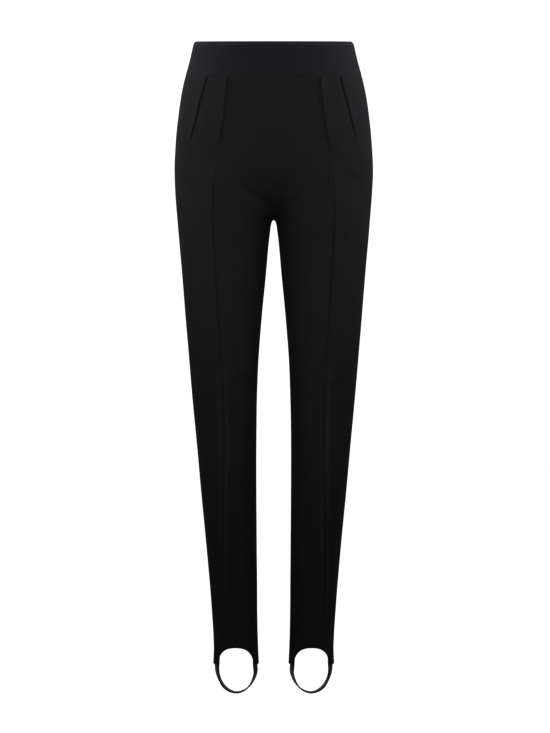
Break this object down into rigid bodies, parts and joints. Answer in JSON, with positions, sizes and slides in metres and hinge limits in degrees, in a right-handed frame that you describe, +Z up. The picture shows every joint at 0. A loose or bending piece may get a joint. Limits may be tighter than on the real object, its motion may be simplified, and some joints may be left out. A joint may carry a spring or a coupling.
{
  "type": "stirrup leggings",
  "caption": "High-waisted stirrup leggings in worn form, hollow, with sewn pleats, a front crease and elastic straps under the feet.",
  "frame": {"origin": "middle of the waist opening, at the mean level of its top edge", "axes": "+Z up along the body, +Y towards the back, +X towards the wearer's left"},
  "size_m": [0.3404, 0.2405, 1.1353],
  "materials": {
    "ponte_knit": "black double-faced knit, matt with a faint sheen at the sides",
    "double_knit": "two layers of the same black knit, with an understitched top edge",
    "ribbed_elastic": "black woven elastic with fine ribs across it"
  },
  "bodies": {
    "root": {"waistband_front": "double_knit", "waistband_back": "double_knit", "front_left": "ponte_knit", "front_right": "ponte_knit", "back_left": "ponte_knit", "back_right": "ponte_knit", "stirrup_left": "ribbed_elastic", "stirrup_right": "ribbed_elastic"}
  },
  "joints": []
}
